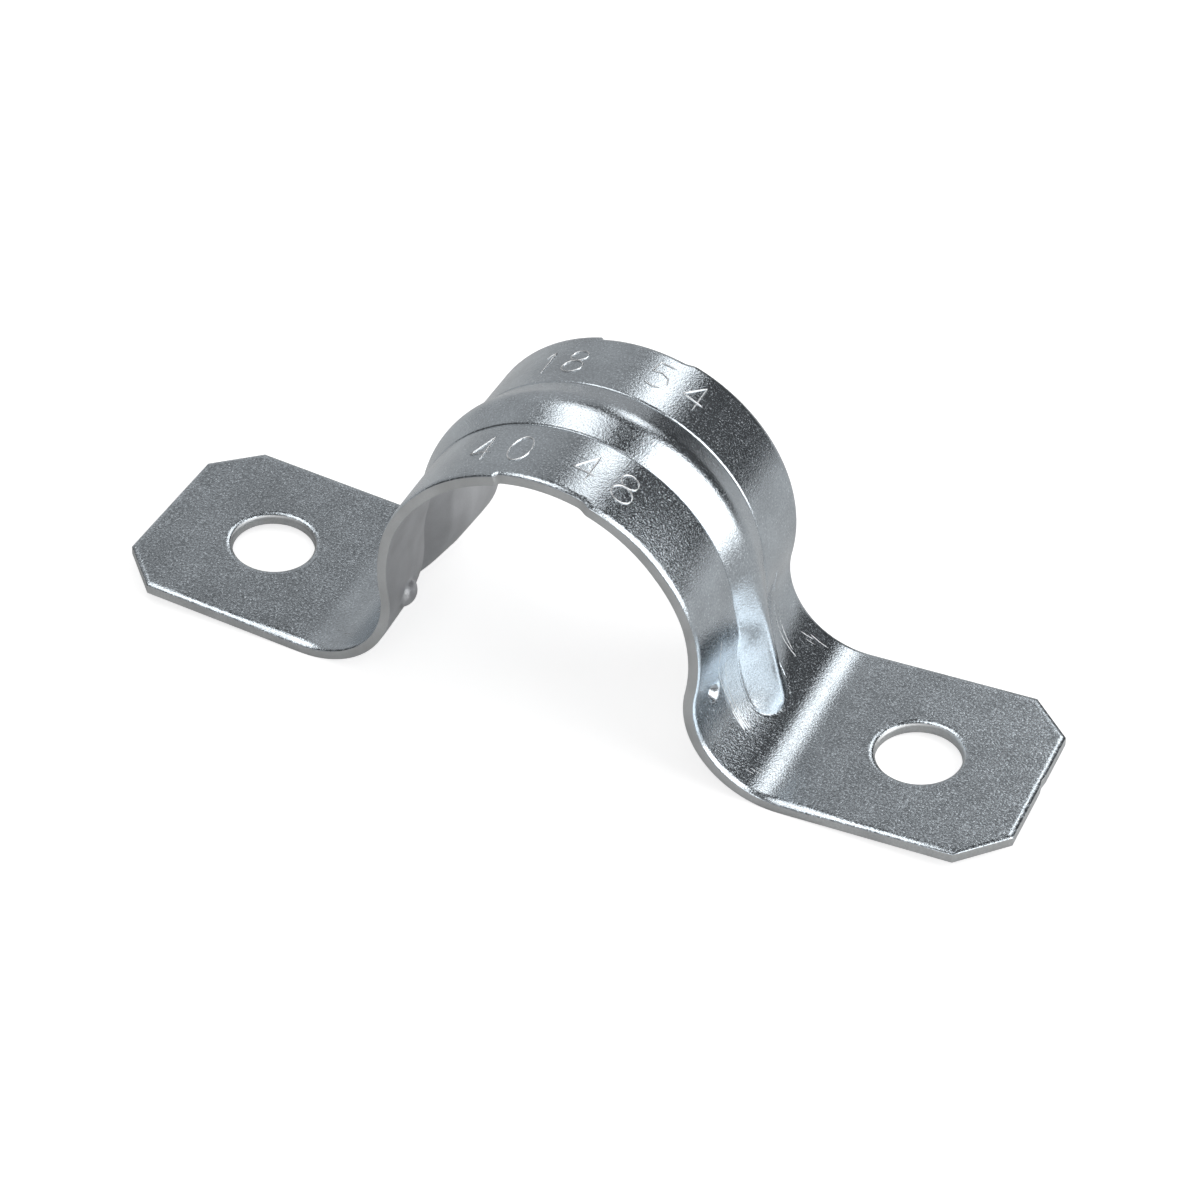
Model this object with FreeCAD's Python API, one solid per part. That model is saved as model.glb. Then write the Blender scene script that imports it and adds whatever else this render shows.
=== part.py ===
import FreeCAD
import Part
import math
import os

os.makedirs("parts", exist_ok=True)

V = FreeCAD.Vector
origin = V(0, 0, 0)
x_dir = V(1, 0, 0)
y_dir = V(0, 1, 0)

# driving dimensions, mm and degrees
conduit_r = 9.0          # inside of the saddle
axis_z = 7.85            # saddle axis above the mounting plane
sheet = 0.65
bend_r = 5.54            # underside of the bend between leg and tab
tab_lean = 3.6           # each tab rises outward from the mounting plane
length = 54.2
width = 13.75
chamfer = 2.5
hole_r = 2.4
hole_pitch = 40.3
hole_rim = 0.13          # rim of the hole pressed down by the punch
roll_in = 0.25           # outer edge dragged over by the shear, in from the edge
roll_down = 0.13         # and down the cut face

notch_half = 2.45        # flat of the cut-off notch at the crown
notch_depth = 0.22
notch_run = 0.65         # length of its gentle end
notch_step = 0.25        # length of its sharp end

rib_h = 0.55             # ridge above the band on the arch
rib_half = 2.18          # crease between rib and band, from the middle
ridge_r = 2.2
gusset_lean = 15.0       # straight ridge of the gusset, off vertical
gusset_end = 9.55        # nose, down the ridge from where it leaves the arch
gusset_taper = 4.0       # the ridge sharpens over this first stretch
gusset_pinch = 0.2       # and each crease comes in by this
gusset_ridge_r = 1.45
nose_run = 1.45          # the gusset narrows over this last stretch
nose_dive = 0.9          # and its ridge curves down over this one
nose_r = 1.8
nose_ridge_r = 0.75

swell_start = 1.2        # beside the gusset the sheet is drawn up from here
swell_past = 0.35        # to this far past the nose
shoulder_half = 3.45     # edge of the drawn shoulder
shoulder_h = 0.46        # drawn height at the gusset's crease
skirt_half = 6.2         # outside the shoulder it fades out as far as this
skirt_h = 0.16           # drawn height at the shoulder's edge

snap_y = -4.45
snap_z = 4.85
snap_dent_r = 0.72
snap_dent = 0.55
snap_floor_r = 0.22
snap_bump_r = 0.95
snap_bump = 0.42

# the band's side profile: arch arc, bend arc tangent to it, then the leaning tab
bend_z = bend_r
bend_x = math.sqrt((conduit_r + bend_r) ** 2 - (axis_z - bend_z) ** 2)
neck = math.atan2(bend_z - axis_z, bend_x)
lean = math.radians(tab_lean)
half = length / 2.0
half_width = width / 2.0


def arch_point(r, a):
    return V(r * math.cos(a), 0, axis_z + r * math.sin(a))


def bend_point(r, a):
    return V(bend_x + r * math.cos(a), 0, bend_z + r * math.sin(a))


def mirrored(p):
    return V(-p.x, p.y, p.z)


def both_ends(shapes):
    return shapes + [s.mirror(origin, x_dir) for s in shapes]


def both_edges(shapes):
    return shapes + [s.mirror(origin, y_dir) for s in shapes]


def arc(a, b, c):
    return Part.Arc(a, b, c).toShape()


def line(a, b):
    return Part.LineSegment(a, b).toShape()


def half_line(depth):
    """Points of the +X side from the crown to past the tab's end, at this depth inside the outer surface."""
    r_arch = conduit_r + sheet - depth
    r_bend = bend_r - sheet + depth
    top = arch_point(r_arch, math.pi / 2)
    low = arch_point(r_arch, neck)
    a0 = neck + math.pi
    a1 = 1.5 * math.pi + lean
    bend_mid = bend_point(r_bend, (a0 + a1) / 2)
    foot = bend_point(r_bend, a1)
    reach = half + 2.0
    far = V(reach, 0, foot.z + (reach - foot.x) * math.tan(lean))
    return top, low, bend_mid, foot, far


def band():
    o_top, *o = half_line(0)
    i_top, *i = half_line(sheet)
    om = [mirrored(p) for p in o]
    im = [mirrored(p) for p in i]
    edges = [
        arc(om[0], o_top, o[0]),
        arc(o[0], o[1], o[2]),
        line(o[2], o[3]),
        line(o[3], i[3]),
        line(i[3], i[2]),
        arc(i[2], i[1], i[0]),
        arc(i[0], i_top, im[0]),
        arc(im[0], im[1], im[2]),
        line(im[2], im[3]),
        line(im[3], om[3]),
        line(om[3], om[2]),
        arc(om[2], om[1], om[0]),
    ]
    solid = Part.Face(Part.Wire(edges)).extrude(y_dir * width)
    solid.translate(y_dir * -half_width)
    return solid


def plan():
    """Upright prism of the blank's outline, with its cut corners."""
    h, w, c = half, half_width, chamfer
    quarter = [(h, -w + c), (h, w - c), (h - c, w)]
    outline = quarter + [(-x, y) for x, y in reversed(quarter)] + [(-h + c, -w), (h - c, -w)]
    corners = [V(x, y, -5) for x, y in outline]
    return Part.Face(Part.makePolygon(corners + corners[:1])).extrude(V(0, 0, 40))


strap = band().common(plan())

foot = half_line(0)[3]
tab_out = V(-math.sin(lean), 0, math.cos(lean))
tab_along = V(math.cos(lean), 0, math.sin(lean))


def tab_point(x):
    """Point on the outer surface of the +X tab."""
    return foot + tab_along * ((x - foot.x) / math.cos(lean))


def lip(place):
    """Sliver that shearing drags off an outer edge. place(up, inward) is a point above the surface, in from the edge."""
    r = (roll_in ** 2 + roll_down ** 2) / (2.0 * roll_down)
    a = math.asin(roll_in / r) / 2
    start = place(0, roll_in)
    mid = place(-r * (1 - math.cos(a)), roll_in - r * math.sin(a))
    clear = 0.5
    rest = [place(-roll_down, 0), place(-roll_down, -clear), place(clear, -clear), place(clear, roll_in), start]
    edges = [arc(start, mid, rest[0])]
    edges += [line(p, q) for p, q in zip(rest, rest[1:])]
    return Part.Face(Part.Wire(edges))


def lips():
    """Slivers along the outer edges of the +Y side and the +X tab, then their mirror images."""
    side = y_dir * half_width
    r = conduit_r + sheet
    rb = bend_r - sheet
    arch = lip(lambda up, inward: arch_point(r + up, neck) + side - y_dir * inward)
    arch = arch.revolve(V(0, 0, axis_z), y_dir, math.degrees(2 * neck - math.pi))
    bend = lip(lambda up, inward: bend_point(rb - up, neck + math.pi) + side - y_dir * inward)
    bend = bend.revolve(V(bend_x, 0, bend_z), y_dir, math.degrees(neck - math.pi / 2 - lean))
    tab = lip(lambda up, inward: foot + tab_out * up + side - y_dir * inward).extrude(tab_along * half)
    end_foot = tab_point(half)
    end = lip(lambda up, inward: end_foot + tab_out * up - tab_along * inward - side).extrude(y_dir * width)
    corner = tab_point(half - chamfer) + side
    slant = (end_foot + y_dir * (half_width - chamfer) - corner).normalize()
    inner = tab_out.cross(slant) * -1.0
    cut = lip(lambda up, inward: corner - slant * chamfer + tab_out * up + inner * inward).extrude(slant * chamfer * 4)
    return both_edges([arch]) + both_ends(both_edges([bend, tab, cut]) + [end])


for sliver in lips():
    strap = strap.cut(sliver)

# screw holes, square to the wall
for side in (-1, 1):
    strap = strap.cut(Part.makeCylinder(hole_r, 10, V(side * hole_pitch / 2.0, 0, -4)))


def is_rim(edge):
    """Is this the hole's edge on the outer surface of a tab."""
    m = edge.valueAt((edge.FirstParameter + edge.LastParameter) / 2.0)
    from_axis = math.hypot(abs(m.x) - hole_pitch / 2.0, m.y)
    return abs(from_axis - hole_r) < 1e-3 and abs(m.z - tab_point(abs(m.x)).z) < 1e-3


strap = strap.makeChamfer(hole_rim, [edge for edge in strap.Edges if is_rim(edge)])

# notches left at the crown where the blank was cut from the strip


def s_bend(run):
    """Radius and half angle of the two equal arcs that step down by the notch's depth over this run."""
    r = (notch_depth ** 2 + run ** 2) / (4.0 * notch_depth)
    return r, math.asin(run / 2.0 / r) / 2


def notch_end(side, run):
    """Edges down one end of the notch, from the strap's edge to its flat. side is -1 or 1."""
    z = axis_z
    r, a = s_bend(run)
    x0 = notch_half + run
    y0 = half_width
    dx = r * math.sin(a)
    dy = r * (1 - math.cos(a))
    low = y0 - notch_depth
    outer = V(side * x0, y0, z)
    mid = V(side * (x0 - run / 2), y0 - notch_depth / 2, z)
    inner = V(side * notch_half, low, z)
    upper = arc(outer, V(side * (x0 - dx), y0 - dy, z), mid)
    lower = arc(mid, V(side * (notch_half + dx), low + dy, z), inner)
    return outer, inner, [upper, lower]


def notch():
    """Cutter at the +Y edge: gentle end towards +X, sharp end towards -X."""
    a_out, a_in, a_edges = notch_end(-1, notch_step)
    b_out, b_in, b_edges = notch_end(1, notch_run)
    up = y_dir
    edges = a_edges + b_edges + [
        line(a_in, b_in),
        line(b_out, b_out + up),
        line(b_out + up, a_out + up),
        line(a_out + up, a_out),
    ]
    return Part.Face(Part.Wire(Part.__sortEdges__(edges))).extrude(V(0, 0, 12))


for cutter in both_edges([notch()]):
    strap = strap.cut(cutter)

# rib over the arch, running straight down as a gusset into each bend
g = math.radians(gusset_lean)
crown_u = conduit_r + sheet + rib_h
bend_k = bend_x * math.sin(g) + (axis_z - bend_z) * math.cos(g)
bend_u = bend_x * math.cos(g) - (axis_z - bend_z) * math.sin(g)


def skin_u(k, depth):
    """Height of the band's surface over the saddle axis, k down the ridge, at this depth in the sheet."""
    r = conduit_r + sheet - depth
    if k < r * math.sin(g - neck):
        return math.sqrt(r * r - k * k)
    rb = bend_r - sheet + depth
    return bend_u - math.sqrt(rb * rb - (k - bend_k) ** 2)


def in_plane(k, y, u):
    """Gusset frame to row frame: k down along the ridge, u outward from the saddle axis."""
    return V(u * math.cos(g) + k * math.sin(g), y, axis_z + u * math.sin(g) - k * math.cos(g))


def swell(k):
    """How far the sheet beside the gusset is drawn up: 0 on the arch, 1 half-way down, 0 past the nose."""
    t = (k - swell_start) / (gusset_end + swell_past - swell_start)
    if t <= 0 or t >= 1:
        return 0.0
    return math.sin(math.pi * t) ** 1.3


def section(k, inside):
    """Ridge top and radius, then crease, shoulder edge and skirt edge as (y, u), of the outer skin or the hollow."""
    s = swell(k)
    sunk = 1 - s
    dive = max(0.0, k - gusset_end + nose_dive)
    top = crown_u - nose_r + math.sqrt(nose_r ** 2 - dive ** 2)
    taper = min(1.0, k / gusset_taper)
    closing = max(0.0, k - gusset_end + nose_run) / nose_run
    narrow = math.sqrt(max(0.08, 1 - 0.93 * closing ** 2))
    r = (ridge_r + (gusset_ridge_r - ridge_r) * taper) * narrow
    if closing > 0:
        r = max(nose_ridge_r, r)
    skin = skin_u(k, 0)
    crease = (rib_half - gusset_pinch * taper) * narrow, skin + shoulder_h * s - 0.03 - 0.07 * sunk
    shoulder = shoulder_half, skin + skirt_h * s - 0.2 * sunk
    skirt = skirt_half, skin - 0.03 * s - 0.3 * sunk
    if not inside:
        return top, r, crease, shoulder, skirt
    fall = skin - skin_u(k, sheet)
    steep = math.atan2(top - crease[1], crease[0])
    back = sheet * math.tan(steep / 2.0) * 0.8
    hollow = [(crease[0] - back, crease[1] - fall), (shoulder[0], shoulder[1] - fall), (skirt[0], skirt[1] - fall)]
    return top - sheet - 0.35 * dive, max(0.3, r - sheet), *hollow


def ring(k, inside):
    """Closed wire of the rib's skin or hollow at k, down to below the band's surface."""
    top, r, crease, shoulder, skirt = section(k, inside)
    base = skin_u(k, sheet) - 1.0 if inside else skin_u(k, 0) - 0.42
    centre = top - r
    rise = crease[1] - centre
    a = math.atan2(rise, crease[0]) + math.acos(min(1.0, r / math.hypot(crease[0], rise)))
    right = [(r * math.cos(a), centre + r * math.sin(a)), crease, shoulder, skirt, (skirt[0], base)]
    left = [(-y, u) for y, u in reversed(right)]
    p = [in_plane(k, y, u) for y, u in left + [(0.0, top)] + right]
    edges = [line(p[i], p[i + 1]) for i in range(4)]
    edges.append(arc(p[4], p[5], p[6]))
    edges += [line(p[i], p[i + 1]) for i in range(6, 10)]
    edges.append(line(p[10], p[0]))
    return Part.Wire(edges)


def rib(inside):
    """Both gussets, both noses and the arch of the rib's outer skin, or of the hollow under it."""
    nose_start = gusset_end - nose_run
    nose_length = nose_run + 0.25
    steps = 5 if inside else 7
    straight = [ring(nose_start * i / steps, inside) for i in range(steps + 1)]
    closing = [ring(nose_start + nose_length * t, inside) for t in (0.25, 0.5, 0.7, 0.87, 1.0)]
    gusset = Part.makeLoft(straight, True, inside)
    nose = Part.makeLoft(straight[-1:] + closing, True, True)
    arch = Part.Face(straight[0]).revolve(V(0, 0, axis_z), y_dir, 2 * gusset_lean - 180.0)
    return both_ends([gusset, nose]) + [arch]


for tool in rib(False):
    strap = strap.fuse(tool)
for tool in rib(True):
    strap = strap.cut(tool)

# one snap dimple in each leg, near the front edge
leg_out = bend_x - math.sqrt((bend_r - sheet) ** 2 - (snap_z - bend_z) ** 2)
leg_in = bend_x - math.sqrt(bend_r ** 2 - (snap_z - bend_z) ** 2)
ball_r = (snap_bump_r ** 2 + snap_bump ** 2) / (2 * snap_bump)
for side in (-1, 1):
    out = V(side, 0, 0)
    ball = Part.makeSphere(ball_r, V(side * (leg_in - snap_bump + ball_r), snap_y, snap_z))
    cap = Part.makeCylinder(snap_bump_r * 1.15, 1.2, V(side * (leg_in + 0.3), snap_y, snap_z), out * -1.0)
    strap = strap.fuse(ball.common(cap))
    dent_floor = V(side * (leg_out - snap_dent), snap_y, snap_z)
    strap = strap.cut(Part.makeCone(snap_floor_r, snap_dent_r, snap_dent, dent_floor, out))
    strap = strap.cut(Part.makeCylinder(snap_dent_r, 1.0, V(side * leg_out, snap_y, snap_z), out))

strap = strap.removeSplitter()
if strap.ShapeType == "Compound" and len(strap.Solids) == 1:
    strap = strap.Solids[0]
print("valid", strap.isValid(), "solids", len(strap.Solids), "faces", len(strap.Faces))
print("box", strap.BoundBox)
strap.exportStep("parts/strap.step")
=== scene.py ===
import bpy
import math
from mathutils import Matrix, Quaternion, Vector


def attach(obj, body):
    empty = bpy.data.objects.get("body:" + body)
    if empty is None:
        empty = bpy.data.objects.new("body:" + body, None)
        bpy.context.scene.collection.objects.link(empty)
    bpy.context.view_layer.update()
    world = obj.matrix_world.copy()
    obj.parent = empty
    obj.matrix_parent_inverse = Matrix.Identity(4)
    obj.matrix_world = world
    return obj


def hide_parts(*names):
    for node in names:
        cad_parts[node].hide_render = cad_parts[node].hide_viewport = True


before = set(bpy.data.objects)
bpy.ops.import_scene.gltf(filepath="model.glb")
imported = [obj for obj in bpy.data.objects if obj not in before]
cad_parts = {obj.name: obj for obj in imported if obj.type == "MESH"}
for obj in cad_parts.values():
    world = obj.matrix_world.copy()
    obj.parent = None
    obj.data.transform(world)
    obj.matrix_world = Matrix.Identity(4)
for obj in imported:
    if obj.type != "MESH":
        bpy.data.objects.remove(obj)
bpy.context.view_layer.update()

mm = 0.001


def deselectAll():
    if bpy.context.object and bpy.context.object.mode != "OBJECT":
        bpy.ops.object.mode_set(mode="OBJECT")
    bpy.ops.object.select_all(action="DESELECT")


def pick(piece):
    deselectAll()
    bpy.context.view_layer.objects.active = piece
    piece.select_set(True)


# camera, set to the photo's viewing angle
cameraSettings = {
    "azimuth": 23.612,
    "elevation": 40.354,
    "roll": 1.98,
    "distance": 185.745 * mm,
    "aim": (-0.305 * mm, 2.5 * mm, 2.252 * mm),
    "lens": 97.984,
    "sensor": 36,
    "clip": (0.01, 20),
}


def fromAngles(azimuth, elevation):
    a, e = math.radians(azimuth), math.radians(elevation)
    return Vector((math.sin(a) * math.cos(e), -math.cos(a) * math.cos(e), math.sin(e)))


def addCamera(s):
    out = fromAngles(s["azimuth"], s["elevation"])
    data = bpy.data.cameras.new("camera")
    data.lens = s["lens"]
    data.sensor_width = s["sensor"]
    data.clip_start, data.clip_end = s["clip"]
    camera = bpy.data.objects.new("camera", data)
    bpy.context.scene.collection.objects.link(camera)
    turn = (-out).to_track_quat("-Z", "Y") @ Quaternion((0, 0, 1), math.radians(s["roll"]))
    camera.rotation_euler = turn.to_euler()
    camera.location = Vector(s["aim"]) + out * s["distance"]
    bpy.context.scene.camera = camera


addCamera(cameraSettings)
print("camera set")

# softboxes round the strap: azimuth 0 is the front and 90 the right, width and height
# are the degrees each one spans, and strength is what a mirror would show
softboxes = {
    "rightBox": {"azimuth": 98, "elevation": 36, "width": 52, "height": 66, "strength": 2.75},
    "leftBox": {"azimuth": -114, "elevation": 66, "width": 26, "height": 29, "strength": 2.3},
    "backStrip": {"azimuth": 179, "elevation": 42, "width": 13, "height": 21, "strength": 2.5},
    "leftFill": {"azimuth": -140, "elevation": 16, "width": 70, "height": 60, "strength": 0.36},
    "frontFill": {"azimuth": 2, "elevation": 42, "width": 110, "height": 70, "strength": 0.34},
    "frontStrip": {"azimuth": 18, "elevation": 52, "width": 20, "height": 30, "strength": 1.6},
}
boxDistance = 1.2


def addSoftbox(name, s):
    out = fromAngles(s["azimuth"], s["elevation"])
    data = bpy.data.lights.new(name, "AREA")
    data.shape = "RECTANGLE"
    data.size = 2 * boxDistance * math.tan(math.radians(s["width"] / 2))
    data.size_y = 2 * boxDistance * math.tan(math.radians(s["height"] / 2))
    data.energy = s["strength"] * math.pi * data.size * data.size_y
    light = bpy.data.objects.new(name, data)
    bpy.context.scene.collection.objects.link(light)
    light.location = out * boxDistance
    light.rotation_euler = (-out).to_track_quat("-Z", "Y").to_euler()


for name, s in softboxes.items():
    addSoftbox(name, s)

# a dark room for the metal, white for the camera
worldSettings = {"level": 0.075, "blue": 1.03}


def addWorld(s):
    world = bpy.data.worlds.new("studio")
    bpy.context.scene.world = world
    world.use_nodes = True
    tree = world.node_tree
    tree.nodes.clear()
    make, join = tree.nodes.new, tree.links.new
    room = make("ShaderNodeBackground")
    room.inputs["Color"].default_value = (s["level"], s["level"], s["level"] * s["blue"], 1)
    seen = make("ShaderNodeBackground")
    seen.inputs["Color"].default_value = (1, 1, 1, 1)
    path = make("ShaderNodeLightPath")
    mix = make("ShaderNodeMixShader")
    out = make("ShaderNodeOutputWorld")
    join(path.outputs["Is Camera Ray"], mix.inputs["Fac"])
    join(room.outputs[0], mix.inputs[1])
    join(seen.outputs[0], mix.inputs[2])
    join(mix.outputs[0], out.inputs["Surface"])


addWorld(worldSettings)
bpy.context.scene.view_settings.view_transform = "Standard"
print("lights set")


# the glow is mostly for the camera, with a little for the metal to show
floorSettings = {"size": 6, "paint": 0.5, "cameraGlow": 0.75, "metalGlow": 0.06}


def addFloor(s):
    deselectAll()
    bpy.ops.mesh.primitive_plane_add(size=s["size"], location=(0, 0, 0))
    floor = bpy.context.object
    floor.name = "floor"
    material = bpy.data.materials.new("paleFloor")
    material.use_nodes = True
    tree = material.node_tree
    tree.nodes.clear()
    make, join = tree.nodes.new, tree.links.new
    paint = make("ShaderNodeBsdfDiffuse")
    paint.inputs["Color"].default_value = (s["paint"], s["paint"], s["paint"], 1)
    glow = make("ShaderNodeEmission")
    glow.inputs["Color"].default_value = (1, 1, 1, 1)
    path = make("ShaderNodeLightPath")
    shown = make("ShaderNodeMath")
    shown.operation = "MULTIPLY"
    shown.inputs[1].default_value = s["metalGlow"]
    level = make("ShaderNodeMath")
    level.operation = "MULTIPLY_ADD"
    level.inputs[1].default_value = s["cameraGlow"]
    add = make("ShaderNodeAddShader")
    out = make("ShaderNodeOutputMaterial")
    join(path.outputs["Is Glossy Ray"], shown.inputs[0])
    join(path.outputs["Is Camera Ray"], level.inputs[0])
    join(shown.outputs[0], level.inputs[2])
    join(level.outputs[0], glow.inputs["Strength"])
    join(paint.outputs[0], add.inputs[0])
    join(glow.outputs[0], add.inputs[1])
    join(add.outputs[0], out.inputs["Surface"])
    floor.data.materials.append(material)


addFloor(floorSettings)
print("floor laid")


# rough and speckle: roughness and tone of the darkest specks and of the lightest;
# grain and depth: the bump's scale, and its depth in mm
finishes = {
    "zincPlate": {
        "colour": (0.55, 0.6, 0.64), "rough": (0.09, 0.29),
        "grain": 9000, "depth": 0.0145, "speckle": (0.68, 1.5),
    },
    "shearedEdge": {
        "colour": (0.6, 0.615, 0.62), "rough": (0.45, 0.55),
        "grain": 6000, "depth": 0.01, "speckle": (0.92, 1.1),
    },
    "zincInside": {
        "colour": (0.7, 0.715, 0.735), "rough": (0.4, 0.46),
        "grain": 8500, "depth": 0.004, "speckle": (0.94, 1.08),
    },
    "rubbedZinc": {
        "colour": (0.84, 0.86, 0.875), "rough": (0.26, 0.3),
        "grain": 6500, "depth": 0.004, "speckle": (0.95, 1.08),
    },
}
# what all the finishes share
plating = {
    "grainDetail": 3,
    "grainRoughness": 0.6,
    "speckScale": 9000,
    "speckDetail": 3,
    "speckRange": (0.36, 0.72),
    "calmPlaces": (12 * mm, 16 * mm),    # out from the middle
    "calmShare": (0.42, 1),
    "cloudScale": 420,
    "cloudRange": (0.35, 0.65),
    "cloudTones": (0.92, 1.08),
}


def noiseNode(tree, where, scale, detail=2, roughness=0.5):
    noise = tree.nodes.new("ShaderNodeTexNoise")
    noise.inputs["Scale"].default_value = scale
    noise.inputs["Detail"].default_value = detail
    noise.inputs["Roughness"].default_value = roughness
    tree.links.new(where.outputs["Object"], noise.inputs["Vector"])
    return noise


def rangeNode(tree, source, given, wanted):
    node = tree.nodes.new("ShaderNodeMapRange")
    node.inputs["From Min"].default_value, node.inputs["From Max"].default_value = given
    node.inputs["To Min"].default_value, node.inputs["To Max"].default_value = wanted
    tree.links.new(source, node.inputs["Value"])
    return node


def metalFinish(name, s):
    p = plating
    material = bpy.data.materials.new(name)
    material.use_nodes = True
    tree = material.node_tree
    make, join = tree.nodes.new, tree.links.new
    shader = tree.nodes["Principled BSDF"]
    shader.inputs["Metallic"].default_value = 1
    where = make("ShaderNodeTexCoord")
    grain = noiseNode(tree, where, s["grain"], p["grainDetail"], p["grainRoughness"])
    bump = make("ShaderNodeBump")
    bump.inputs["Strength"].default_value = 1
    bump.inputs["Distance"].default_value = s["depth"] * mm
    join(grain.outputs["Fac"], bump.inputs["Height"])
    join(bump.outputs["Normal"], shader.inputs["Normal"])
    # fine bright and dark specks of the plating; the light ones are duller
    specks = noiseNode(tree, where, p["speckScale"], p["speckDetail"])
    spread = rangeNode(tree, specks.outputs["Fac"], p["speckRange"], s["speckle"])
    gloss = rangeNode(tree, specks.outputs["Fac"], p["speckRange"], s["rough"])
    join(gloss.outputs["Result"], shader.inputs["Roughness"])
    # their colour is evener between the tabs
    parts = make("ShaderNodeSeparateXYZ")
    outward = make("ShaderNodeMath")
    outward.operation = "ABSOLUTE"
    calm = rangeNode(tree, outward.outputs[0], p["calmPlaces"], p["calmShare"])
    even = make("ShaderNodeMix")
    even.inputs["A"].default_value = 1
    join(where.outputs["Object"], parts.inputs["Vector"])
    join(parts.outputs["X"], outward.inputs[0])
    join(calm.outputs["Result"], even.inputs["Factor"])
    join(spread.outputs["Result"], even.inputs["B"])
    # soft clouds in the plating
    clouds = noiseNode(tree, where, p["cloudScale"])
    drift = rangeNode(tree, clouds.outputs["Fac"], p["cloudRange"], p["cloudTones"])
    both = make("ShaderNodeMath")
    both.operation = "MULTIPLY"
    tone = make("ShaderNodeVectorMath")
    tone.operation = "SCALE"
    tone.inputs[0].default_value = s["colour"]
    join(even.outputs["Result"], both.inputs[0])
    join(drift.outputs["Result"], both.inputs[1])
    join(both.outputs[0], tone.inputs["Scale"])
    join(tone.outputs["Vector"], shader.inputs["Base Color"])
    return material


# sizes of the strap, mm and degrees, as the frame has them
strapSize = {
    "conduitRadius": 9.0,
    "axisHeight": 7.85,
    "sheet": 0.65,
    "bendRadius": 5.54,
    "tabLean": 3.6,
    "length": 54.2,
    "width": 13.75,
    "chamfer": 2.5,
    "holeRadius": 2.4,
    "holePitch": 40.3,
    "notchHalf": 2.45,
    "notchDepth": 0.22,
    "notchSharp": 0.22,
    "notchGentle": 0.7,
    "crownAbove": 12,      # height over which an edge is the crown's
}
# what the press and the shear leave, finer than the frame; lengths in mm
edgeSize = {
    "rollIn": 0.32,        # outer edge drawn over by the shear: how far in, and how far down
    "rollDown": 0.09,
    "drawnAt": 15.5,       # wider and deeper along the front of each bend
    "drawnRun": 2.2,
    "drawnBelow": 6,
    "drawnWider": 0.9,
    "drawnDeeper": 0.8,
    "bandDroop": 0.13,     # front band falls away towards its edge, on the crown
    "droopAbove": 11,
    "droopRun": 3,
    "droopPower": 1.6,
    "nickDepth": 0.07,     # where the two cuts of the right end meet
    "nickY": 0.5,
    "nickHalf": 0.3,
    "nickRun": 0.5,
    "holeLip": 0.42,
    "lipDepth": 0.6,       # of the rounding's own width
    "lipLeast": 0.001,
    "lipSegments": 6,
    "burr": 0.03,
    "burrSegments": 2,
}
ribSize = {
    "height": 0.55,
    "half": 2.12,
    "ridge": 2.2,
    "gussetRidge": 0.75,
    "lean": 15.0,
    "taper": 4.0,
    "pinch": 0.16,
    "end": 9.55,
    "pastEnd": 0.25,
    "noseRun": 1.45,
    "noseDive": 0.9,
    "noseRadius": 1.8,
    "noseRidge": 0.75,
    "narrowing": 0.93,
    "narrowest": 0.08,
    "steepest": 88,
    "swellStart": 1.2,
    "swellPast": 0.35,
    "swellPower": 1.3,
    "shoulderHalf": 3.45,
    "shoulderHeight": 0.5,
    "shoulderSoft": 0.012,
    "skirtHalf": 6.2,
    "skirtHeight": 0.16,
    "skirtSoft": 0.02,
    "soften": 0.035,
    "creaseFade": 0.024,
    "creaseDepth": 0.05,
}

outerRadius = strapSize["conduitRadius"] + strapSize["sheet"]
bendOuter = strapSize["bendRadius"] - strapSize["sheet"]
bendCentreZ = strapSize["bendRadius"]
centreGap = strapSize["conduitRadius"] + strapSize["bendRadius"]
centreDrop = strapSize["axisHeight"] - bendCentreZ
bendCentreX = math.sqrt(centreGap ** 2 - centreDrop ** 2)
ribLean = math.radians(ribSize["lean"])
tabLean = math.radians(strapSize["tabLean"])
# the ends are square to the leaning tabs, so the lower edge reaches furthest
halfLength = strapSize["length"] / 2 - strapSize["sheet"] * math.sin(tabLean)
halfWidth = strapSize["width"] / 2
# bend centre in the gusset's own directions: along its ridge, and out from the saddle's axis
bendAlong = bendCentreX * math.sin(ribLean) + centreDrop * math.cos(ribLean)
bendOut = bendCentreX * math.cos(ribLean) - centreDrop * math.sin(ribLean)
neckAngle = math.atan2(-centreDrop, bendCentreX)
noseStop = ribSize["end"] + ribSize["pastEnd"]
# where the outer skin of a tab starts
footX = bendCentreX + bendOuter * math.sin(tabLean)
footZ = bendCentreZ - bendOuter * math.cos(tabLean)


def skinOut(k):
    # band surface over the saddle axis, k down the ridge
    if k < outerRadius * math.sin(ribLean - neckAngle):
        return math.sqrt(outerRadius ** 2 - k * k)
    return bendOut - math.sqrt(bendOuter ** 2 - (k - bendAlong) ** 2)


def softMax(a, b, soft):
    return (a + b + math.sqrt((a - b) ** 2 + soft ** 2)) / 2


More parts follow.
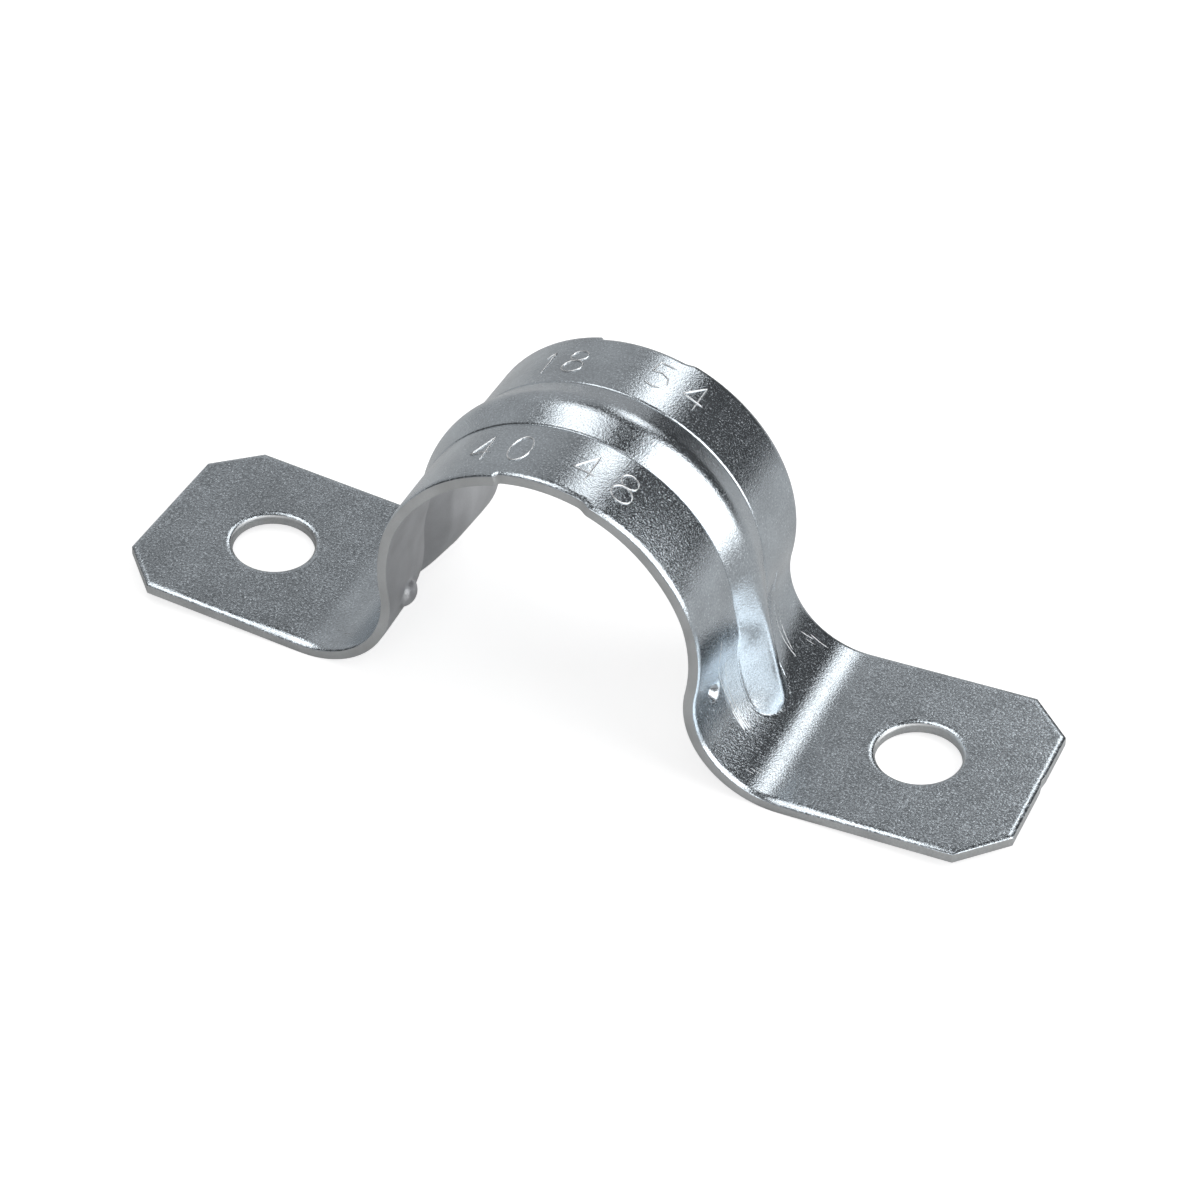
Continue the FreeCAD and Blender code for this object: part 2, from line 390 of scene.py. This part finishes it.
def ribRise(k, y, creased=True):
    # height pressed up from the band at k down the ridge, y across
    y = abs(y)
    r = ribSize
    t = (k - r["swellStart"]) / (r["end"] + r["swellPast"] - r["swellStart"])
    swell = math.sin(math.pi * t) ** r["swellPower"] if 0 < t < 1 else 0
    # the ridge: narrower down the leg, then closing and diving at the nose
    dive = max(0.0, k - r["end"] + r["noseDive"])
    noseRise = math.sqrt(max(0.0, r["noseRadius"] ** 2 - dive ** 2))
    top = outerRadius + r["height"] - r["noseRadius"] + noseRise
    taper = min(1.0, max(k, 0) / r["taper"])
    closing = max(0.0, k - r["end"] + r["noseRun"]) / r["noseRun"]
    narrow = math.sqrt(max(r["narrowest"], 1 - r["narrowing"] * closing ** 2))
    ridge = (r["ridge"] + (r["gussetRidge"] - r["ridge"]) * taper) * narrow
    if closing > 0:
        ridge = max(r["noseRidge"], ridge)
    # the flank leaves the ridge's circle and runs straight to the crease
    skin = skinOut(max(k, 0))
    creaseY = (r["half"] - r["pinch"] * taper) * narrow
    creaseOut = skin + r["shoulderHeight"] * swell
    centre = top - ridge
    rise = creaseOut - centre
    a = math.atan2(rise, creaseY) + math.acos(min(1.0, ridge / math.hypot(creaseY, rise)))
    a = min(a, math.radians(r["steepest"]))
    edgeY = ridge * math.cos(a)
    if y < edgeY:
        flank = centre + math.sqrt(ridge ** 2 - y * y)
    else:
        flank = centre + ridge * math.sin(a) - (y - edgeY) / math.tan(a)
    # the shoulder beside it falls to a low skirt
    fall = (r["skirtHeight"] - r["shoulderHeight"]) * (y - creaseY)
    near = r["shoulderHeight"] + fall / (r["shoulderHalf"] - creaseY)
    far = r["skirtHeight"] * (r["skirtHalf"] - y) / (r["skirtHalf"] - r["shoulderHalf"])
    drawn = softMax(softMax(near, far, r["shoulderSoft"]), 0, r["skirtSoft"])
    base = skin + drawn * swell
    crease = 0
    if creased:
        crease = r["creaseDepth"] * math.exp(-((flank - base) / r["creaseFade"]) ** 2)
    return softMax(flank, base, r["soften"]) - skin - crease


meshSteps = {
    "archStep": 1.6,       # degrees between rows on the arch
    "notchRows": (2.2, 3.3),
    "notchStep": 0.45,
    "ribStep": 0.26,       # mm between rows down the leg
    "dimpleRows": (4.4, 6.3, 0.1),
    "noseStep": 0.08,
    "bendStep": 3.2,
    "tabRows": (0.07, 0.14, 0.21, 0.3, 0.45, 0.7),
    "tabStep": 0.25,
    "edgeBand": 0.8,       # kept fine along the outline of the tabs
    "edgeStep": 0.09,
    "acrossSteps": (
        (0.9, 0.15), (1.75, 0.085), (2.3, 0.045), (2.9, 0.1),
        (3.6, 0.16), (5.3, 0.105), (6.075, 0.2), (6.875, 0.09),
    ),
    "firmUntil": 4.8,      # beyond it the mesh follows the notches
    "aboveStep": 0.1,      # between the samples that the ball rolls over
    "belowStep": 0.08,
    "belowMargin": 0.05,
    "slopeStep": 0.001,
}
slack = 0.02    # mm, for what lies right on a limit


def steps(start, end, size):
    count = max(1, round(abs(end - start) / size))
    return [start + (end - start) * i / count for i in range(count)]


def rightRows():
    # each row: x, z, the way out that the rib rises, and how far down the ridge it is
    r, m = ribSize, meshSteps
    rows = []
    notchStart, notchEnd = [math.degrees(math.acos(x / outerRadius)) for x in m["notchRows"]]
    angles = steps(90, notchStart, m["archStep"]) + steps(notchStart, notchEnd, m["notchStep"])
    angles += steps(notchEnd, r["lean"], m["archStep"])
    for degrees in angles:
        a = math.radians(degrees)
        out = (math.cos(a), math.sin(a))
        z = strapSize["axisHeight"] + outerRadius * out[1]
        rows.append((outerRadius * out[0], z, out, 0.0))
    noseStart = r["end"] - r["noseRun"]
    out = (math.cos(ribLean), math.sin(ribLean))
    first, last, fine = m["dimpleRows"]
    downLeg = steps(0, first, m["ribStep"]) + steps(first, last, fine)
    downLeg += steps(last, noseStart, m["ribStep"])
    downLeg += steps(noseStart, noseStop, m["noseStep"]) + [noseStop]
    for k in downLeg:
        u = skinOut(k)
        x = u * out[0] + k * out[1]
        z = strapSize["axisHeight"] + u * out[1] - k * out[0]
        rows.append((x, z, out, k))
    bendStart = math.degrees(math.atan2(z - bendCentreZ, x - bendCentreX)) % 360
    bendStop = 270 + strapSize["tabLean"]
    for degrees in steps(bendStart, bendStop, m["bendStep"])[1:] + [bendStop]:
        b = math.radians(degrees)
        x = bendCentreX + bendOuter * math.cos(b)
        z = bendCentreZ + bendOuter * math.sin(b)
        rows.append((x, z, (0, 0), None))
    tabX, tabZ = x, z
    cornerX = halfLength - strapSize["chamfer"]
    places = [tabX + (cornerX - tabX) * t for t in m["tabRows"]]
    places += steps(cornerX, halfLength - m["edgeBand"], m["tabStep"])
    places += steps(halfLength - m["edgeBand"], halfLength, m["edgeStep"]) + [halfLength]
    for x in places:
        rows.append((x, tabZ + (x - tabX) * math.tan(tabLean), (0, 0), None))
    return rows


def acrossPlaces():
    places = [0.0]
    for until, size in meshSteps["acrossSteps"]:
        places += steps(places[-1], until, size)[1:] + [until]
    return [-y for y in reversed(places[1:])] + places


def edgeAt(x, onCrown):
    # half width of the sheet at x, less the cut corners and the notches at the crown
    if not onCrown:
        return halfWidth - max(0.0, abs(x) - (halfLength - strapSize["chamfer"]))
    run = strapSize["notchSharp"] if x < 0 else strapSize["notchGentle"]
    t = min(1.0, max(0.0, (abs(x) - strapSize["notchHalf"]) / run))
    return halfWidth - strapSize["notchDepth"] * (1 - t * t * (3 - 2 * t))


def acrossAt(y, edge, onCrown):
    if not onCrown:
        return y * edge / halfWidth
    firm = meshSteps["firmUntil"]
    if abs(y) <= firm:
        return y
    return math.copysign(firm + (abs(y) - firm) * (edge - firm) / (halfWidth - firm), y)


def droopAt(y, z):
    # the front band falls away from the rib on the crown
    crown = min(1.0, max(0.0, (z - edgeSize["droopAbove"]) / edgeSize["droopRun"]))
    out = max(0.0, -y - ribSize["half"]) / (halfWidth - ribSize["half"])
    return edgeSize["bandDroop"] * crown * out ** edgeSize["droopPower"]


def nickAt(x, y):
    # the right end steps in a little
    e = edgeSize
    if x <= halfLength - e["nickRun"]:
        return 0.0
    dip = e["nickDepth"] * math.exp(-((y - e["nickY"]) / e["nickHalf"]) ** 2)
    return dip * (x - halfLength + e["nickRun"]) / e["nickRun"]


right = rightRows()
rows = [(-x, z, (-o[0], o[1]), k) for x, z, o, k in reversed(right[1:])] + right
across = acrossPlaces()


def pressSheet():
    # the flat blank is a grid; each of its points goes to its place on the pressed strap
    grid = []
    alongLast, acrossLast = len(rows) - 1, len(across) - 1
    deselectAll()
    bpy.ops.mesh.primitive_grid_add(x_subdivisions=alongLast, y_subdivisions=acrossLast, size=2)
    piece = bpy.context.object
    piece.name = "pressedStrap"
    for v in piece.data.vertices:
        i = round((v.co.x + 1) / 2 * alongLast)
        j = round((v.co.y + 1) / 2 * acrossLast)
        grid.append((i, j))
        x, z, out, k = rows[i]
        onCrown = z > strapSize["crownAbove"]
        y = acrossAt(across[j], edgeAt(x, onCrown), onCrown)
        x -= nickAt(x, y)
        rise = ribRise(k, y) if k is not None else 0.0
        rise -= droopAt(y, z)
        v.co = (x + out[0] * rise, y, z + out[1] * rise)
    return piece, grid


def useModifier(piece, kind, **settings):
    modifier = piece.modifiers.new(kind.lower(), kind)
    for key, value in settings.items():
        setattr(modifier, key, value)
    pick(piece)
    bpy.ops.object.modifier_apply(modifier=modifier.name)


# material slots of the sheet
outerSkin, cutFace, innerSkin = 0, 1, 2


def giveThickness(piece, materials):
    for material in materials:
        piece.data.materials.append(material)
    useModifier(piece, "SOLIDIFY", thickness=strapSize["sheet"], offset=-1, use_even_offset=True,
                use_quality_normals=True, material_offset=innerSkin, material_offset_rim=cutFace)


def legSamples():
    # outer skin over the leg, without the rib and with it
    m = meshSteps
    places = steps(-strapSize["sheet"], 0, m["aboveStep"])
    places += sorted({k for *_, k in rows if k is not None})
    lowest = bendAlong + bendOuter - m["belowMargin"]
    places += steps(noseStop + m["belowStep"], lowest, m["belowStep"])
    samples = []
    for k in places:
        flat = skinOut(k)
        if k < 0:
            lifted = [math.sqrt((outerRadius + ribRise(0, y, False)) ** 2 - k * k) for y in across]
        elif k <= noseStop:
            lifted = [flat + ribRise(k, y, False) for y in across]
        else:
            lifted = [flat] * len(across)
        samples.append((k, flat, lifted))
    return samples


def innerLift(k, j, samples):
    # a ball with the sheet's thickness for radius, rolled under the outer skin,
    # says how far the rib lifts the inner one
    flatLow = liftedLow = math.inf
    for place, flat, lifted in samples:
        room = strapSize["sheet"] ** 2 - (k - place) ** 2
        if room <= 0:
            continue
        flatLow = min(flatLow, flat - math.sqrt(room))
        for way in (range(j, -1, -1), range(j + 1, len(across))):
            for n in way:
                left = room - (across[n] - across[j]) ** 2
                if left <= 0:
                    break
                liftedLow = min(liftedLow, lifted[n] - math.sqrt(left))
    return liftedLow - flatLow


def followRib(piece, grid):
    # under the rib the inner skin is set out again, so that it doesn't fold over itself
    samples = legSamples()
    near = meshSteps["slopeStep"]
    lifts = {}
    for n, (i, j) in enumerate(grid):
        x, z, out, k = rows[i]
        if k is None:
            continue
        slope = (skinOut(k + near) - skinOut(k - near)) / (2 * near) if k > 0 else 0.0
        inward = strapSize["sheet"] / math.hypot(1, slope)
        # both halves across are alike
        key = (k, min(j, len(across) - 1 - j))
        if key not in lifts:
            lifts[key] = innerLift(k + inward * slope, key[1], samples)
        y = piece.data.vertices[n].co.y
        rise = lifts[key] - droopAt(y, z) - inward
        down = inward * slope
        side = math.copysign(1, out[0])
        # Solidify adds the inner points after the outer ones, in the same order
        inner = piece.data.vertices[n + len(grid)]
        innerX = x + out[0] * rise + side * out[1] * down
        inner.co = (innerX, y, z + out[1] * rise - abs(out[0]) * down)


sheet, grid = pressSheet()
print("sheet pressed", len(sheet.data.polygons))
metals = {name: metalFinish(name, s) for name, s in finishes.items()}
giveThickness(sheet, [metals["zincPlate"], metals["shearedEdge"], metals["zincInside"]])
followRib(sheet, grid)
print("thickness given", len(sheet.data.polygons))


# snap dimples: a pit outside and a bump inside on each leg, in front of the rib
dimple = {
    "y": -4.45,
    "z": 4.85,
    "pit": {"radius": 0.62, "push": 0.5, "power": 1.1},
    "bump": {"radius": 0.86, "push": 0.52, "power": 0.7},
    "through": 1.2,
    "smoothWithin": 1.3,
}


def pressDimples(piece, s):
    rise = s["z"] - bendCentreZ
    run = math.sqrt(bendOuter ** 2 - rise ** 2)
    out = Vector((run, 0, -rise)) / bendOuter
    for side in (-1, 1):
        axis = Vector((side * out.x, 0, out.z))
        centre = Vector((side * (bendCentreX - run), s["y"], s["z"]))
        for v in piece.data.vertices:
            away = v.co - centre
            depth = away.dot(axis)
            if abs(depth) > s["through"]:
                continue
            form = s["pit"] if depth > -strapSize["sheet"] / 2 else s["bump"]
            t = (away - axis * depth).length / form["radius"]
            if t < 1:
                v.co -= axis * form["push"] * (1 - t * t) ** form["power"]


pressDimples(sheet, dimple)
print("dimples pressed")


def fromEdge(x, y, onCrown):
    # distance in from the sheared outline
    if onCrown:
        return edgeAt(x, True) - abs(y)
    ends = (halfLength - abs(x)) / math.cos(tabLean)
    corner = (halfLength - abs(x) + halfWidth - abs(y) - strapSize["chamfer"]) / math.sqrt(2)
    return min(halfWidth - abs(y), ends, corner)


def rollEdges(piece, s):
    normals = {}
    for face in piece.data.polygons:
        if face.material_index == outerSkin:
            for i in face.vertices:
                normals.setdefault(i, Vector())
                normals[i] += face.normal
    for i, normal in normals.items():
        v = piece.data.vertices[i]
        # the front edge is drawn over further where the sheet bends
        bend = 0
        if v.co.y < 0 and v.co.z < s["drawnBelow"]:
            bend = math.exp(-((abs(v.co.x) - s["drawnAt"]) / s["drawnRun"]) ** 2)
        reach = s["rollIn"] * (1 + s["drawnWider"] * bend)
        t = 1 - fromEdge(v.co.x, v.co.y, v.co.z > strapSize["crownAbove"]) / reach
        if t > 0:
            deeper = 1 + s["drawnDeeper"] * bend
            v.co -= normal.normalized() * s["rollDown"] * deeper * min(t, 1) ** 2


rollEdges(sheet, edgeSize)
print("edges rolled")


def selectNone(kind):
    bpy.ops.object.mode_set(mode="EDIT")
    bpy.ops.mesh.select_mode(type=kind)
    bpy.ops.mesh.select_all(action="DESELECT")
    bpy.ops.object.mode_set(mode="OBJECT")


def flattenTabs(piece):
    # each flat face of the tabs becomes one face before the holes are cut
    pick(piece)
    inFrom = meshSteps["edgeBand"] - slack
    for side in (-1, 1):
        for skin in (outerSkin, innerSkin):
            selectNone("FACE")
            for face in piece.data.polygons:
                corners = [piece.data.vertices[i].co for i in face.vertices]
                flat = min(side * c.x for c in corners) > footX - slack
                if skin == outerSkin:
                    flat = flat and min(fromEdge(c.x, c.y, False) for c in corners) > inFrom
                face.select = flat and face.material_index == skin
            bpy.ops.object.mode_set(mode="EDIT")
            bpy.ops.mesh.dissolve_faces()
            bpy.ops.object.mode_set(mode="OBJECT")


flattenTabs(sheet)
print("tabs flat", len(sheet.data.polygons))

cutterSize = {"sides": 96, "depth": 6}


def holeCutter(side, s):
    place = (side * strapSize["holePitch"] / 2, 0, 0)
    deselectAll()
    bpy.ops.mesh.primitive_cylinder_add(vertices=s["sides"], radius=strapSize["holeRadius"],
                                        depth=s["depth"], location=place)
    cutter = bpy.context.object
    for material in sheet.data.materials:
        cutter.data.materials.append(material)
    for face in cutter.data.polygons:
        face.material_index = cutFace
    return cutter


for side in (-1, 1):
    cutter = holeCutter(side, cutterSize)
    useModifier(sheet, "BOOLEAN", object=cutter, operation="DIFFERENCE", solver="EXACT",
                material_mode="TRANSFER")
    bpy.data.objects.remove(cutter)
print("holes cut", len(sheet.data.polygons))


def rimEdges(piece, skin):
    # edges between a skin and the cut faces
    faces = {}
    for face in piece.data.polygons:
        for key in face.edge_keys:
            faces.setdefault(key, []).append(face.material_index)
    return {key for key, kinds in faces.items() if cutFace in kinds and skin in kinds}


def fromHole(v):
    return math.hypot(abs(v.co.x) - strapSize["holePitch"] / 2, v.co.y)


def bevelRims(piece, skin, offset, segments, holesOnly):
    pick(piece)
    keys = rimEdges(piece, skin)
    selectNone("EDGE")
    reach = strapSize["holeRadius"] + slack / 2
    for edge in piece.data.edges:
        rim = tuple(sorted(edge.vertices)) in keys
        atHole = all(fromHole(piece.data.vertices[i]) < reach for i in edge.vertices)
        edge.select = rim and (not holesOnly or atHole)
    bpy.ops.object.mode_set(mode="EDIT")
    bpy.ops.mesh.bevel(offset=offset, segments=segments, profile=0.5, affect="EDGES",
                       clamp_overlap=False)
    bpy.ops.object.mode_set(mode="OBJECT")


def pressLips(piece, s):
    # the punch draws the rim down less than inward
    for v in piece.data.vertices:
        if fromHole(v) < strapSize["holeRadius"] + s["holeLip"] + slack:
            down = footZ + (abs(v.co.x) - footX) * math.tan(tabLean) - v.co.z
            if s["lipLeast"] < down < s["holeLip"] + slack:
                v.co.z += down * (1 - s["lipDepth"])


bevelRims(sheet, outerSkin, edgeSize["holeLip"], edgeSize["lipSegments"], True)
pressLips(sheet, edgeSize)
bevelRims(sheet, outerSkin, edgeSize["burr"], edgeSize["burrSegments"], False)
bevelRims(sheet, innerSkin, edgeSize["burr"], edgeSize["burrSegments"], False)
print("rims rolled", len(sheet.data.polygons))

shading = {"sharpFrom": 40, "weight": 60}

# millimetres to metres
pick(sheet)
bpy.ops.transform.resize(value=(mm, mm, mm), center_override=(0, 0, 0))
bpy.ops.object.transform_apply(location=True, rotation=True, scale=True)
bpy.ops.object.shade_smooth_by_angle(angle=math.radians(shading["sharpFrom"]))
for edge in sheet.data.edges:
    # the dimples stay smooth
    one, other = [sheet.data.vertices[i].co for i in edge.vertices]
    middle = (one + other) / 2 / mm
    if math.hypot(middle.y - dimple["y"], middle.z - dimple["z"]) < dimple["smoothWithin"]:
        edge.use_edge_sharp = False
useModifier(sheet, "WEIGHTED_NORMAL", keep_sharp=True, weight=shading["weight"])
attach(sheet, "root")
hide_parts("strap")
print("strap finished", len(sheet.data.polygons))


def ring(x, y, wide, high, turn):
    angles = [math.radians(d) for d in range(0, 361, turn)]
    return [(x + wide * math.cos(a), y + high * math.sin(a)) for a in angles]


# single-stroke digits in a box 0.6 wide and 1 high
digitStrokes = {
    "0": [ring(0.3, 0.5, 0.3, 0.5, 20)],
    "1": [[(0.12, 0.78), (0.34, 1.0), (0.34, 0.0)]],
    "4": [[(0.45, 0.0), (0.45, 1.0), (0.0, 0.32), (0.62, 0.32)]],
    "5": [[(0.55, 1.0), (0.1, 1.0), (0.05, 0.57), (0.3, 0.64), (0.52, 0.52),
           (0.58, 0.32), (0.5, 0.1), (0.28, 0.0), (0.02, 0.08)]],
    "8": [ring(0.3, 0.77, 0.25, 0.23, 30), ring(0.3, 0.27, 0.3, 0.27, 30)],
}
digitMiddle = (0.3, 0.5)
# digit, angle of its middle on the arch, middle across the strap
bandNumbers = [
    ("1", 119, 4.2), ("8", 108, 4.2), ("5", 79, 4.7), ("4", 66, 4.7),
    ("4", 117, -4.35), ("0", 103, -4.35), ("4", 80, -4.3), ("8", 66, -4.3),
]
numberSize = {"height": 2.1, "thickness": 0.05, "proud": 0.012, "spacing": 0.12}
# draw marks beside the gusset, right leg: along the leg and across at both ends, thickness
drawMarks = [
    (2.3, -3.95, 3.9, -4.02, 0.012), (3.9, -4.0, 5.3, -3.6, 0.016),
    (5.2, -3.6, 6.9, -3.3, 0.026), (6.8, -3.3, 8.5, -3.32, 0.036),
    (7.4, -3.42, 8.7, -3.5, 0.03), (7.7, -3.15, 8.8, -3.28, 0.038),
    (6.0, -3.08, 7.7, -3.02, 0.026), (7.5, -3.0, 8.85, -3.12, 0.034),
    (8.0, -3.35, 8.6, -3.45, 0.04), (4.4, -3.1, 6.0, -3.05, 0.012),
    (8.2, -2.9, 8.9, -3.0, 0.022), (5.3, 3.96, 6.5, 3.78, 0.014),
    (6.4, 3.78, 7.6, 3.62, 0.018), (7.5, 3.62, 8.85, 3.58, 0.024),
    (6.0, 4.3, 7.2, 4.05, 0.014), (7.1, 4.1, 8.5, 3.75, 0.02),
    (3.2, 3.9, 4.7, 3.95, 0.01), (8.4, 5.3, 9.1, 5.6, 0.02),
    (8.9, 5.75, 9.8, 5.8, 0.022), (8.8, 5.2, 9.3, 5.35, 0.014),
    (9.75, -5.35, 10.2, -5.25, 0.018), (9.9, -5.05, 10.25, -4.95, 0.012),
    (9.6, -5.6, 9.95, -5.55, 0.012),
]
# the left leg's marks are moved by up to shift, each by its own amount
markSettings = {"spacing": 0.15, "shift": 0.3, "swing": 7}
strokeForm = {"roundness": 2, "tip": 0.35}


def onArch(degrees, y):
    a = math.radians(degrees)
    height = strapSize["axisHeight"] + outerRadius * math.sin(a)
    r = outerRadius + numberSize["proud"] - droopAt(y, height)
    return Vector((r * math.cos(a), y, strapSize["axisHeight"] + r * math.sin(a))) * mm


def onLeg(side, k, y):
    u = skinOut(k) + (ribRise(k, y) if k < noseStop else 0)
    x = u * math.cos(ribLean) + k * math.sin(ribLean)
    z = strapSize["axisHeight"] + u * math.sin(ribLean) - k * math.cos(ribLean)
    return Vector((side * x, y, z)) * mm


def strokesPiece(name, strokes, s):
    # strokes: points and thickness of each, made as fine raised lines
    curve = bpy.data.curves.new(name, "CURVE")
    curve.dimensions = "3D"
    curve.bevel_depth = mm
    curve.bevel_resolution = s["roundness"]
    curve.use_fill_caps = True
    for points, thick in strokes:
        line = curve.splines.new("POLY")
        line.points.add(len(points) - 1)
        for n, (knot, point) in enumerate(zip(line.points, points)):
            knot.co = (*point, 1)
            knot.radius = thick * (s["tip"] if n in (0, len(points) - 1) else 1)
    piece = bpy.data.objects.new(name, curve)
    bpy.context.scene.collection.objects.link(piece)
    pick(piece)
    bpy.ops.object.convert(target="MESH")
    piece = bpy.context.object
    piece.data.materials.append(metals["rubbedZinc"])
    bpy.ops.object.shade_smooth()
    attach(piece, "root")


def along(points, size):
    # points no further apart than size
    out = [points[0]]
    for p, q in zip(points, points[1:]):
        count = max(1, math.ceil(math.dist(p, q) / size))
        for n in range(1, count + 1):
            out.append(tuple(a + (b - a) * n / count for a, b in zip(p, q)))
    return out


numberStrokes = []
for digit, degrees, middle in bandNumbers:
    for line in digitStrokes[digit]:
        places = []
        for u, v in along(line, numberSize["spacing"]):
            turn = math.degrees((u - digitMiddle[0]) * numberSize["height"] / outerRadius)
            y = middle + (v - digitMiddle[1]) * numberSize["height"]
            places.append(onArch(degrees - turn, y))
        numberStrokes.append((places, numberSize["thickness"]))
strokesPiece("stampedNumbers", numberStrokes, strokeForm)
print("numbers made")

markStrokes = []
for side in (-1, 1):
    for k0, y0, k1, y1, thick in drawMarks:
        shift = 0 if side > 0 else markSettings["shift"] * math.sin(k0 * markSettings["swing"])
        points = along([(k0, y0), (k1, y1)], markSettings["spacing"])
        markStrokes.append(([onLeg(side, k + shift, y) for k, y in points], thick))
strokesPiece("drawMarks", markStrokes, strokeForm)
print("marks made")
